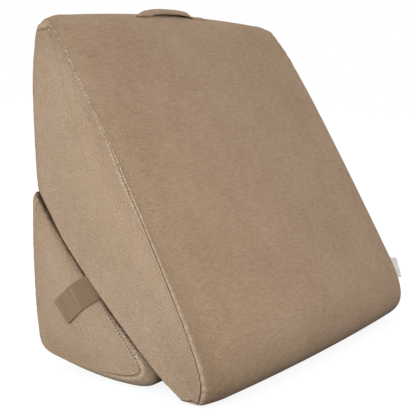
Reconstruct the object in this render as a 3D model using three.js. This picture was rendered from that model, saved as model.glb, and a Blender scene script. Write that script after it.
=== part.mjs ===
// Bed wedge pillow of two foam wedges in plush covers, in its high folded stand.
// The large wedge leans on the small one, with their backs nearly in one upright plane.
// Millimetres: +X to the right seen from the front, +Y to the back, +Z up, floor at z = 0.
import * as THREE from 'three';

// Driving dimensions shared by the pieces
const WIDTH = 610; // across the bed, over both side panels
const FLOOR = 0;

// Side views of the wedges, y from the middle of the depth and z from the floor.
// A corner lies where its edges would meet. It is rounded over a length before it and after it.
// Each edge runs to the next corner, bows out by its crown, and leans its crown from 0 to 1 along it.
const LARGE_OUTLINE = [
  { corner: 'top', y: 143, z: 551, before: 47, after: 80, edge: 'slope', crown: 4, lean: 0.5 },
  { corner: 'nose', y: -201, z: 37, before: 84, after: 34, edge: 'nose', crown: 5, lean: 0.5 },
  { corner: 'toe', y: -119, z: -8, before: 12, after: 13, edge: 'underside', crown: 8, lean: 0.36 },
  { corner: 'heel', y: 177, z: 256, before: 144, after: 14, edge: 'back', crown: 5, lean: 0.5 },
];
const LARGE_SEAM = [
  { corner: 'top', y: 127, z: 505, before: 8, after: 8, edge: 'slope', crown: 12, lean: 0.22 },
  { corner: 'nose', y: -149, z: 51, before: 85, after: 28, edge: 'nose', crown: 1, lean: 0.5 },
  { corner: 'toe', y: -123, z: -11, before: 10, after: 9, edge: 'underside', crown: 3, lean: 0.5 },
  { corner: 'heel', y: 123, z: 224, before: 33, after: 33, edge: 'back', crown: 21, lean: 1 },
];
const SMALL_OUTLINE = [
  { corner: 'top', y: 180, z: 277, before: 39, after: 43, edge: 'rest', crown: -1, lean: 0.5 },
  { corner: 'toe', y: -95, z: -15, before: 93, after: 87, edge: 'base', crown: 9, lean: 0.5 },
  { corner: 'heel', y: 163, z: 35, before: 4, after: 14, edge: 'back', crown: 0, lean: 0.5 },
];
const SMALL_SEAM = [
  { corner: 'top', y: 160, z: 253, before: 22, after: 22, edge: 'rest', crown: 2, lean: 0.5 },
  { corner: 'toe', y: -46, z: 17, before: 34, after: 44, edge: 'base', crown: 4, lean: 0.5 },
  { corner: 'heel', y: 153, z: 25, before: 22, after: 22, edge: 'back', crown: 3, lean: 0.5 },
];

// How each cover is drawn in towards its sides.
// The ends shrink towards the anchor, the edge rolls over onto the side, and the side panel bows out.
// The middle of the base settles onto the floor, while the base stays lifted at both sides.
// It is fully settled up to SETTLE_FROM of the half width, and not at all from SETTLE_TO on.
const LARGE_COVER = {
  halfWidth: WIDTH / 2,
  anchor: { y: 1, z: 122 },
  shrink: 0.032,
  roll: 52,
  seamInset: 0,
  seamDepth: 3,
  cornerPull: [2, 0, 10, 4],
  pullReach: 45,
  sideBow: 3,
  seamLift: 5,
  settle: 0,
  settleHeight: 80,
};
const SMALL_COVER = {
  halfWidth: WIDTH / 2 - 5,
  anchor: { y: 41, z: 66 },
  shrink: 0.013,
  roll: 25,
  seamInset: 6,
  seamDepth: 3,
  cornerPull: [4, 3, 4],
  pullReach: 45,
  sideBow: 4,
  seamLift: 5,
  settle: 40,
  settleHeight: 80,
};

// Carry handle: a padded strip of the plush, both feet sewn down along the top edge.
// The back of its feet hangs over the edge by no more than the droop.
// Between the feet it arches clear of the edge, which leaves room for the fingers.
// Towards its edges it thins out, and its underside rises by the edge lift, a share of the lost thickness.
// It lies a little askew, with its right foot further back, and its ends are cut to a point at the front.
const HANDLE = {
  length: 199,
  width: 22,
  x: -7.5,
  y: 135.5,
  skew: 3,
  thickness: 5.6,
  endThickness: 3,
  endTaper: 4,
  edgeLift: 0.25,
  endCut: 26,
  cutLength: 50,
  gap: 1.8,
  droop: 5,
  clearance: 5,
  arch: 116,
  archPower: 2.5,
};

// Webbing straps: sewn on between the wedges, then laid over the side panel of the small one.
// Side view places: where the strap leaves the gap, and the middle of its free end.
const STRAP = {
  width: 38,
  thickness: 1.8,
  gap: 0.7,
  leave: { y: 51, z: 141 },
  end: { y: 105, z: 92 },
  endLift: 2,
  wrapDepth: 18,
  wrapReach: 26,
  wrapDegrees: 56,
};

// Folded tag in the right side seam, from its lower to its upper end
const LABEL = {
  low: { y: -131, z: 65 },
  high: { y: -118, z: 99 },
  reach: 22,
  lean: 18,
  thickness: 1.2,
  gap: 1.2,
};

const EDGE_STEPS = 10;
const CORNER_STEPS = 6;
const WIDTH_STEPS = 5;
const ROLL_STEPS = 5;
const SIDE_STEPS = 3;
const SETTLE_FROM = 0.35;
const SETTLE_TO = 0.85;
const SEAM_WIDTH = 7;
const HANDLE_STEPS = 28;
const HANDLE_ACROSS = 10;
const STRAP_STEPS = 12;
const STRAP_WRAP_STEPS = 9;
const STRAP_ACROSS = 6;
const LABEL_STEPS = 3;
const FAR = 1000;

const COLOURS = {
  plush: 0xa58d75,
  webbing: 0x8f775f,
  tag: 0xf2f2f0,
};

function material(colour, roughness) {
  return new THREE.MeshStandardMaterial({ color: colour, roughness, metalness: 0 });
}

// Direction and control point of a crowned edge between two rounded corners
function edgeCurve(from, to, middle) {
  const start = new THREE.Vector2(from.y, from.z);
  const end = new THREE.Vector2(to.y, to.z);
  const along = end.clone().sub(start).normalize();
  const outward = new THREE.Vector2(along.y, -along.x);
  const centre = start.clone().lerp(end, 0.5).sub(middle);
  if (outward.dot(centre) < 0) {
    outward.negate();
  }
  start.addScaledVector(along, from.after);
  end.addScaledVector(along, -to.before);
  const control = start.clone().lerp(end, from.lean).addScaledVector(outward, 2 * from.crown);
  return new THREE.QuadraticBezierCurve(start, control, end);
}

// Point where the tangents of two neighbouring edges meet, which rounds the corner between them
function cornerControl(edge, next) {
  const leave = edge.v2.clone().sub(edge.v1);
  const arrive = next.v0.clone().sub(next.v1);
  const offset = next.v0.clone().sub(edge.v2);
  const t = offset.cross(arrive) / leave.cross(arrive);
  return edge.v2.clone().addScaledVector(leave, t);
}

// Closed side view as points, with crowned edges and rounded corners
function sideView(corners) {
  const middle = new THREE.Vector2();
  corners.forEach((c) => middle.add(new THREE.Vector2(c.y, c.z).divideScalar(corners.length)));
  const edges = corners.map((c, i) => edgeCurve(c, corners[(i + 1) % corners.length], middle));
  const points = [];
  edges.forEach((edge, i) => {
    const next = edges[(i + 1) % edges.length];
    const round = new THREE.QuadraticBezierCurve(edge.v2, cornerControl(edge, next), next.v0);
    points.push(...edge.getPoints(EDGE_STEPS).slice(0, -1));
    points.push(...round.getPoints(CORNER_STEPS).slice(0, -1));
  });
  return points;
}

// How far each seam point is pulled in from the side near the corners
function cornerPulls(seam, corners, cover) {
  return seam.map((point) => {
    let pull = 0;
    corners.forEach((corner, i) => {
      const distance = point.distanceTo(new THREE.Vector2(corner.y, corner.z));
      pull += cover.cornerPull[i] * Math.exp(-((distance / cover.pullReach) ** 2));
    });
    return pull;
  });
}

// Rings of one half of a cover, from the middle of the width to the middle of the side panel
function halfRings(outlineCorners, seamCorners, cover) {
  const outline = sideView(outlineCorners);
  const seam = sideView(seamCorners);
  seam.forEach((point) => {
    point.y = Math.max(point.y, FLOOR + cover.seamLift);
  });
  const pulls = cornerPulls(seam, seamCorners, cover);
  const anchor = new THREE.Vector2(cover.anchor.y, cover.anchor.z);
  const rollStart = cover.halfWidth - cover.roll;

  const faceAt = (x) => outline.map((point) => {
    const outness = (x / cover.halfWidth) ** 2;
    const moved = point.clone().sub(anchor).multiplyScalar(1 - cover.shrink * outness).add(anchor);
    const lowness = Math.max(1 - moved.y / cover.settleHeight, 0);
    const middleness = 1 - THREE.MathUtils.smoothstep(x / cover.halfWidth, SETTLE_FROM, SETTLE_TO);
    const z = moved.y - cover.settle * middleness * lowness;
    return new THREE.Vector3(x, moved.x, Math.max(z, FLOOR));
  });

  const rings = [];
  for (let i = 0; i < WIDTH_STEPS; i += 1) {
    rings.push(faceAt((rollStart * i) / WIDTH_STEPS));
  }

  const face = faceAt(rollStart);
  for (let i = 0; i <= ROLL_STEPS; i += 1) {
    const angle = (Math.PI / 2) * (i / ROLL_STEPS);
    rings.push(face.map((point, k) => {
      const seamX = cover.halfWidth - cover.seamInset - pulls[k];
      const onSeam = new THREE.Vector3(rollStart, seam[k].x, seam[k].y);
      const rolled = point.clone().lerp(onSeam, 1 - Math.cos(angle));
      rolled.x = rollStart + (seamX - rollStart) * Math.sin(angle);
      return rolled;
    }));
  }

  const lip = rings[rings.length - 1];
  const apex = new THREE.Vector3();
  lip.forEach((point) => apex.addScaledVector(point, 1 / lip.length));
  apex.x = cover.halfWidth + cover.sideBow - cover.seamInset;
  const bow = (point, share) => {
    const moved = point.clone().lerp(apex, share);
    moved.x = THREE.MathUtils.lerp(point.x, apex.x, 1 - (1 - share) ** 2);
    return moved;
  };
  const inward = (point, width) => width / Math.hypot(point.y - apex.y, point.z - apex.z);
  rings.push(lip.map((point) => {
    const groove = bow(point, inward(point, SEAM_WIDTH / 2));
    groove.x -= cover.seamDepth;
    return groove;
  }));
  rings.push(lip.map((point) => bow(point, inward(point, SEAM_WIDTH))));
  for (let i = 1; i < SIDE_STEPS; i += 1) {
    rings.push(lip.map((point) => {
      const start = inward(point, SEAM_WIDTH);
      return bow(point, start + (1 - start) * (i / SIDE_STEPS));
    }));
  }
  return { rings, apex };
}

// Closed solid over a row of rings with a point at each end
function loftRings(rings, firstApex, lastApex) {
  const count = rings[0].length;
  const points = [firstApex, ...rings.flat(), lastApex];
  const last = points.length - 1;
  const at = (ring, k) => 1 + ring * count + (k % count);
  const triangles = [];
  for (let k = 0; k < count; k += 1) {
    triangles.push(0, at(0, k), at(0, k + 1));
    triangles.push(last, at(rings.length - 1, k + 1), at(rings.length - 1, k));
  }
  for (let ring = 0; ring < rings.length - 1; ring += 1) {
    for (let k = 0; k < count; k += 1) {
      triangles.push(at(ring, k), at(ring + 1, k), at(ring, k + 1));
      triangles.push(at(ring, k + 1), at(ring + 1, k), at(ring + 1, k + 1));
    }
  }
  return closedGeometry(points, triangles);
}

// Indexed geometry whose faces point out
function closedGeometry(points, triangles) {
  let volume = 0;
  for (let i = 0; i < triangles.length; i += 3) {
    const [a, b, c] = [points[triangles[i]], points[triangles[i + 1]], points[triangles[i + 2]]];
    volume += a.dot(b.clone().cross(c));
  }
  if (volume < 0) {
    for (let i = 0; i < triangles.length; i += 3) {
      [triangles[i + 1], triangles[i + 2]] = [triangles[i + 2], triangles[i + 1]];
    }
  }
  const geometry = new THREE.BufferGeometry().setFromPoints(points);
  geometry.setIndex(triangles);
  geometry.computeVertexNormals();
  return geometry;
}

// Filled foam wedge in its cover, the same on both sides
function wedge(name, outlineCorners, seamCorners, cover) {
  const { rings, apex } = halfRings(outlineCorners, seamCorners, cover);
  const mirrored = (point) => new THREE.Vector3(-point.x, point.y, point.z);
  const left = rings.slice(1).reverse().map((ring) => ring.map(mirrored));
  const geometry = loftRings([...left, ...rings], mirrored(apex), apex);
  const mesh = new THREE.Mesh(geometry, material(COLOURS.plush, 0.95));
  mesh.name = name;
  return mesh;
}

// First point where a ray meets a mesh
function meet(mesh, origin, direction) {
  const hit = new THREE.Raycaster(origin, direction.clone().normalize()).intersectObject(mesh)[0];
  return hit.point;
}

// Thin closed solid between an inner and an outer grid of points
function sheetGeometry(inner, outer) {
  const rows = inner.length;
  const columns = inner[0].length;
  const points = [...inner.flat(), ...outer.flat()];
  const at = (layer, r, c) => layer * rows * columns + r * columns + c;
  const triangles = [];
  const quad = (a, b, c, d) => triangles.push(a, b, c, a, c, d);
  for (let r = 0; r < rows - 1; r += 1) {
    for (let c = 0; c < columns - 1; c += 1) {
      quad(at(1, r, c), at(1, r + 1, c), at(1, r + 1, c + 1), at(1, r, c + 1));
      quad(at(0, r, c), at(0, r, c + 1), at(0, r + 1, c + 1), at(0, r + 1, c));
    }
  }
  for (let r = 0; r < rows - 1; r += 1) {
    quad(at(0, r, 0), at(0, r + 1, 0), at(1, r + 1, 0), at(1, r, 0));
    quad(at(0, r + 1, columns - 1), at(0, r, columns - 1), at(1, r, columns - 1), at(1, r + 1, columns - 1));
  }
  for (let c = 0; c < columns - 1; c += 1) {
    quad(at(0, 0, c + 1), at(0, 0, c), at(1, 0, c), at(1, 0, c + 1));
    quad(at(0, rows - 1, c), at(0, rows - 1, c + 1), at(1, rows - 1, c + 1), at(1, rows - 1, c));
  }
  return closedGeometry(points, triangles);
}

// Padded strip that lies on the top edge at both ends and arches clear of it between them
function handle(support) {
  const down = new THREE.Vector3(0, 0, -1);
  const topAt = (x, y) => meet(support, new THREE.Vector3(x, y, FAR), down).z;
  const crest = topAt(HANDLE.x, HANDLE.y);
  const rings = [];
  const middles = [];
  for (let i = 0; i <= HANDLE_STEPS; i += 1) {
    const along = HANDLE.length * (i / HANDLE_STEPS - 0.5);
    const outness = Math.abs(2 * along) / HANDLE.length;
    const thickness = THREE.MathUtils.lerp(HANDLE.thickness, HANDLE.endThickness, outness ** HANDLE.endTaper);
    const inArch = Math.min(Math.abs(2 * along) / HANDLE.arch, 1);
    const archZ = inArch < 1 ? crest + HANDLE.clearance * (1 - inArch ** HANDLE.archPower) : -FAR;
    const centreY = HANDLE.y + HANDLE.skew * (along / HANDLE.length);
    const endness = Math.max(1 - (HANDLE.length / 2 - Math.abs(along)) / HANDLE.cutLength, 0);
    const under = [];
    const over = [];
    for (let k = 0; k <= HANDLE_ACROSS; k += 1) {
      const angle = Math.PI * (k / HANDLE_ACROSS);
      const back = (1 - Math.cos(angle)) / 2;
      const x = HANDLE.x + along - Math.sign(along) * HANDLE.endCut * back * endness;
      const y = centreY + HANDLE.width * (back - 0.5);
      const swell = thickness * Math.sin(angle);
      const seat = Math.max(topAt(x, y) + HANDLE.gap, archZ, crest - HANDLE.droop);
      const base = seat + (thickness - swell) * HANDLE.edgeLift;
      under.push(new THREE.Vector3(x, y, base));
      over.push(new THREE.Vector3(x, y, base + swell));
    }
    rings.push([...over, ...under.slice(1, -1).reverse()]);
    middles.push(under[HANDLE_ACROSS / 2].clone().lerp(over[HANDLE_ACROSS / 2], 0.5));
  }
  const geometry = loftRings(rings, middles[0], middles[HANDLE_STEPS]);
  const mesh = new THREE.Mesh(geometry, material(COLOURS.plush, 0.95));
  mesh.name = 'handle';
  return mesh;
}

// Strap on one side (-1 left, 1 right): a free end laid on the small wedge, its root wrapped into the gap.
// The webbing stays straight across its width, so a row lies as high as the cover's highest point under it.
function strap(name, side, support) {
  const start = new THREE.Vector3(0, STRAP.leave.y, STRAP.leave.z);
  const along = new THREE.Vector3(0, STRAP.end.y, STRAP.end.z).sub(start);
  const length = along.length();
  along.normalize();
  const across = new THREE.Vector3(1, 0, 0).cross(along);
  const centreX = side * (WIDTH / 2 - STRAP.wrapReach);

  const rows = [];
  for (let i = STRAP_WRAP_STEPS; i > 0; i -= 1) {
    const angle = THREE.MathUtils.degToRad(STRAP.wrapDegrees * (i / STRAP_WRAP_STEPS));
    const outward = new THREE.Vector3(side * Math.cos(angle), 0, 0).addScaledVector(along, -Math.sin(angle));
    rows.push({ reach: STRAP.wrapDepth, outward, lift: 0 });
  }
  for (let i = 0; i <= STRAP_STEPS; i += 1) {
    const share = i / STRAP_STEPS;
    const reach = THREE.MathUtils.lerp(STRAP.wrapDepth, length, share);
    rows.push({ reach, outward: new THREE.Vector3(side, 0, 0), lift: STRAP.endLift * share ** 4 });
  }

  rows.forEach((row) => {
    row.seats = [];
    for (let k = 0; k <= STRAP_ACROSS; k += 1) {
      const seat = start.clone().setX(centreX).addScaledVector(along, row.reach);
      row.seats.push(seat.addScaledVector(across, STRAP.width * (k / STRAP_ACROSS - 0.5)));
    }
    const inward = row.outward.clone().negate();
    const heights = row.seats.map((seat) => {
      const origin = seat.clone().addScaledVector(row.outward, FAR);
      return meet(support, origin, inward).distanceTo(seat);
    });
    row.height = Math.max(...heights);
  });

  const gridAt = (offset) => rows.map((row, i) => {
    const before = rows[Math.max(i - 1, 0)].height;
    const after = rows[Math.min(i + 1, rows.length - 1)].height;
    const height = Math.max(before, row.height, after) + row.lift + offset;
    return row.seats.map((seat) => seat.clone().addScaledVector(row.outward, height));
  });
  const geometry = sheetGeometry(gridAt(STRAP.gap), gridAt(STRAP.gap + STRAP.thickness));
  const mesh = new THREE.Mesh(geometry, material(COLOURS.webbing, 0.85));
  mesh.name = name;
  return mesh;
}

// Folded tag that stands out of the right side seam of the large wedge and leans to the front
function label(support) {
  const low = new THREE.Vector3(FAR, LABEL.low.y, LABEL.low.z);
  const high = new THREE.Vector3(FAR, LABEL.high.y, LABEL.high.z);
  const inward = new THREE.Vector3(-1, 0, 0);
  const roots = [];
  for (let k = 0; k <= LABEL_STEPS; k += 1) {
    roots.push(meet(support, low.clone().lerp(high, k / LABEL_STEPS), inward));
  }
  const gridAt = (offset) => {
    const rows = [];
    for (let i = 0; i <= LABEL_STEPS; i += 1) {
      const share = i / LABEL_STEPS;
      const moved = new THREE.Vector3(LABEL.gap + LABEL.reach * share, offset - LABEL.lean * share ** 2, 0);
      rows.push(roots.map((root) => root.clone().add(moved)));
    }
    return rows;
  };
  const geometry = sheetGeometry(gridAt(-LABEL.thickness / 2), gridAt(LABEL.thickness / 2));
  const mesh = new THREE.Mesh(geometry, material(COLOURS.tag, 0.6));
  mesh.name = 'label';
  return mesh;
}

const largeWedge = wedge('large_wedge', LARGE_OUTLINE, LARGE_SEAM, LARGE_COVER);
const smallWedge = wedge('small_wedge', SMALL_OUTLINE, SMALL_SEAM, SMALL_COVER);

const pieces = new THREE.Group();
pieces.add(largeWedge);
pieces.add(smallWedge);
pieces.add(handle(largeWedge));
pieces.add(strap('strap_left', -1, smallWedge));
pieces.add(strap('strap_right', 1, smallWedge));
pieces.add(label(largeWedge));

// The origin is the middle of the footprint of all the pieces, on the floor
const middle = new THREE.Box3().setFromObject(pieces).getCenter(new THREE.Vector3());
pieces.position.set(-middle.x, -middle.y, 0);

const pillow = new THREE.Group();
pillow.add(pieces);

export default pillow;
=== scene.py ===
"""Looks of a bed wedge pillow: two plush wedges, folded high, with handle, straps and tag."""

import logging
import math
from dataclasses import dataclass, field
from enum import Enum

import bmesh
import bpy
import numpy as np
from mathutils import Matrix, Vector
from mathutils.bvhtree import BVHTree
from mathutils.kdtree import KDTree


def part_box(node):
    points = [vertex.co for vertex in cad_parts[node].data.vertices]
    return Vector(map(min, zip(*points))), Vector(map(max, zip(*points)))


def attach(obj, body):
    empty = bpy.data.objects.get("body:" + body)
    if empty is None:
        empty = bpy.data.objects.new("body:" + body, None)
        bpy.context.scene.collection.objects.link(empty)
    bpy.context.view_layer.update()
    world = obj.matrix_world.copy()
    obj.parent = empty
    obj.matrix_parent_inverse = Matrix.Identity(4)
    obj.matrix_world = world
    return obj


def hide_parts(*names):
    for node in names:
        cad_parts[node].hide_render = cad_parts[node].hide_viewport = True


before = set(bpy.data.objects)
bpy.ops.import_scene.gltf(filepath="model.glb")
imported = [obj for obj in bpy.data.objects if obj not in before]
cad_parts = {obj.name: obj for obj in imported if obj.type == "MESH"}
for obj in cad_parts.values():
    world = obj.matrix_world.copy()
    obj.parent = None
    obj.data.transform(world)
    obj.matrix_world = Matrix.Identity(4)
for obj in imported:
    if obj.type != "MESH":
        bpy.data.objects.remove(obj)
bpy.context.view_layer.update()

LOG = logging.getLogger("bed_wedge_pillow")
BODY = "root"
WIDTH = 0.610
NOSE_REACH = 0.1784
FLOOR = 0.0
DRESS_SEED = 11
FAR = 1.0
MIRROR = np.array((-1.0, 1.0, 1.0))
DOWN = Vector((0.0, 0.0, -1.0))
LEFTWARDS = Vector((-1.0, 0.0, 0.0))


class Side(Enum):
    """Which end of the width a piece is on."""

    LEFT = -1
    RIGHT = 1


def own_origin() -> Vector:
    """Place of the wedges' own origin, on the floor in the middle plane of their width."""
    low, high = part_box("large_wedge")
    return Vector(((low.x + high.x) / 2, low.y + NOSE_REACH, FLOOR))


ORIGIN = own_origin()


# Shader expressions


class Signal:
    """A shader socket that can be used in Python expressions."""

    def __init__(self, tree: "Shading", socket: bpy.types.NodeSocket) -> None:
        """Keep the socket and the tree it belongs to."""
        self.tree = tree
        self.socket = socket

    def _math(self, operation: str, *values: "Signal | float") -> "Signal":
        """Add one Math node that works on the given values."""
        return self.tree.node("ShaderNodeMath", {"operation": operation}, dict(enumerate(values)))

    def __add__(self, other: "Signal | float") -> "Signal":
        """Sum."""
        return self._math("ADD", self, other)

    def __radd__(self, other: float) -> "Signal":
        """Sum with a number on the left."""
        return self._math("ADD", other, self)

    def __sub__(self, other: "Signal | float") -> "Signal":
        """Difference."""
        return self._math("SUBTRACT", self, other)

    def __rsub__(self, other: float) -> "Signal":
        """Difference from a number on the left."""
        return self._math("SUBTRACT", other, self)

    def __mul__(self, other: "Signal | float") -> "Signal":
        """Product."""
        return self._math("MULTIPLY", self, other)

    def __rmul__(self, other: float) -> "Signal":
        """Product with a number on the left."""
        return self._math("MULTIPLY", other, self)

    def size(self) -> "Signal":
        """Absolute value."""
        return self._math("ABSOLUTE", self)

    def sine(self) -> "Signal":
        """Sine of an angle in radians."""
        return self._math("SINE", self)

    def least(self, other: "Signal | float") -> "Signal":
        """Smaller of two values."""
        return self._math("MINIMUM", self, other)

    def most(self, other: "Signal | float") -> "Signal":
        """Larger of two values."""
        return self._math("MAXIMUM", self, other)

    def ramp(self, low: float, high: float) -> "Signal":
        """Smooth step from 0 at low to 1 at high.

        Args:
            low: The value where the step starts.
            high: The value where the step ends. It may be the smaller one.

        Returns:
            The step as a value from 0 to 1.
        """
        settings = {"interpolation_type": "SMOOTHSTEP"}
        if low < high:
            return self.tree.node("ShaderNodeMapRange", settings, {"Value": self, 1: low, 2: high})
        return 1 - self.tree.node("ShaderNodeMapRange", settings, {"Value": self, 1: high, 2: low})


class Shading:
    """The node tree of one material, filled by expressions."""

    def __init__(self, name: str) -> None:
        """Make the material with its shader and output nodes.

        Args:
            name: The material's name.
        """
        self.material = bpy.data.materials.new(name)
        self.material.use_nodes = True
        self.nodes = self.material.node_tree.nodes
        self.links = self.material.node_tree.links
        self.surface = self.nodes["Principled BSDF"]

    def node(self, kind: str, settings: dict, inputs: dict, output: "int | str" = 0) -> Signal:
        """Add one node.

        Args:
            kind: The node's type.
            settings: The node's own properties, such as the operation of a Math node.
            inputs: Values, vectors or signals by socket name or number.
            output: The socket that the result is read from.

        Returns:
            The chosen output as a signal.
        """
        made = self.nodes.new(kind)
        for key, value in settings.items():
            setattr(made, key, value)
        for key, value in inputs.items():
            self.feed(made.inputs[key], value)
        return Signal(self, made.outputs[output])

    def feed(self, socket: bpy.types.NodeSocket, value: object) -> None:
        """Link a signal to a socket, or set the socket to a constant.

        Args:
            socket: The input to fill.
            value: The signal or the constant.
        """
        if isinstance(value, Signal):
            self.links.new(value.socket, socket)
        else:
            socket.default_value = value

    def place(self) -> Signal:
        """Position on the object, in metres."""
        return self.node("ShaderNodeTexCoord", {}, {}, "Object")

    def stretched(self, place: Signal, scale: tuple[float, float, float]) -> Signal:
        """Position with each axis multiplied by its own number."""
        settings = {"operation": "MULTIPLY"}
        return self.node("ShaderNodeVectorMath", settings, {0: place, 1: scale})

    def noise(self, place: Signal, scale: float, detail: float, roughness: float) -> Signal:
        """Noise from 0 to 1, about 0.5 on average, with its scale in features per metre."""
        inputs = {"Vector": place, "Scale": scale, "Detail": detail, "Roughness": roughness}
        return self.node("ShaderNodeTexNoise", {}, inputs)

    def attribute(self, name: str) -> Signal:
        """Value that the mesh carries under a name."""
        return self.node("ShaderNodeAttribute", {"attribute_name": name}, {}, "Fac")

    def blend(self, share: "Signal | float", first: object, second: object) -> Signal:
        """Mix of two colours, from the first one at 0 to the second one at 1."""
        settings = {"data_type": "RGBA"}
        return self.node("ShaderNodeMix", settings, {0: share, 6: first, 7: second}, 2)

    def raised(self, height: Signal, distance: float, strength: float) -> Signal:
        """Normal of a surface whose relief is height times distance."""
        inputs = {"Height": height, "Distance": distance, "Strength": strength}
        return self.node("ShaderNodeBump", {}, inputs)

    def finish(
        self, colour: object, roughness: float, normal: Signal, constants: dict
    ) -> bpy.types.Material:
        """Fill the main shader.

        Args:
            colour: Base colour.
            roughness: Roughness.
            normal: The relief's normal.
            constants: Further sockets of the shader that are the same all over.

        Returns:
            The finished material.
        """
        self.feed(self.surface.inputs["Base Color"], colour)
        self.feed(self.surface.inputs["Roughness"], roughness)
        self.feed(self.surface.inputs["Normal"], normal)
        for key, value in constants.items():
            self.surface.inputs[key].default_value = value
        return self.material


def grey(value: float) -> tuple[float, float, float, float]:
    """Linear grey."""
    return (value, value, value, 1.0)


def linear(red: int, green: int, blue: int) -> tuple[float, float, float, float]:
    """Linear colour of an sRGB colour.

    Args:
        red: Red, from 0 to 255.
        green: Green, from 0 to 255.
        blue: Blue, from 0 to 255.

    Returns:
        Its red, green, blue and alpha from 0 to 1.
    """
    shares = [value / 255 for value in (red, green, blue)]
    low = [share / 12.92 for share in shares]
    high = [((share + 0.055) / 1.055) ** 2.4 for share in shares]
    picked = [lo if share <= 0.04045 else hi for share, lo, hi in zip(shares, low, high)]
    return (*picked, 1.0)


@dataclass(frozen=True)
class SeamShading:
    """Painted shade and highlights along a side seam, in metres from the stitched line.

    Distances are positive on the side panel and negative on the wrap. Of a pair, the first is where
    a mark begins to show and the second where it shows in full.
    """

    stitch_pitch: float = 0.0049
    crease: tuple[float, float] = (0.0019, 0.0008)
    wrap_shade_line: float = -0.0125
    wrap_shade_reach: tuple[float, float] = (0.0060, 0.0010)
    panel_highlight_line: float = 0.0036
    panel_highlight_reach: tuple[float, float] = (0.0024, 0.0008)
    wrap_highlight_line: float = -0.0052
    wrap_highlight_reach: tuple[float, float] = (0.0040, 0.0016)
    pucker_shading_reach: tuple[float, float] = (0.018, 0.006)
    near_line: float = -0.004
    near_reach: tuple[float, float] = (0.013, 0.003)
    ragged_shade: tuple[float, float] = (0.0010, -0.0022)
    gap_shade: tuple[float, float] = (0.0125, 0.0070)
    gap_wide_shade: tuple[float, float] = (0.018, 0.006)
    wander_scale: float = 90.0
    bit_scale: float = 380.0


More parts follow.
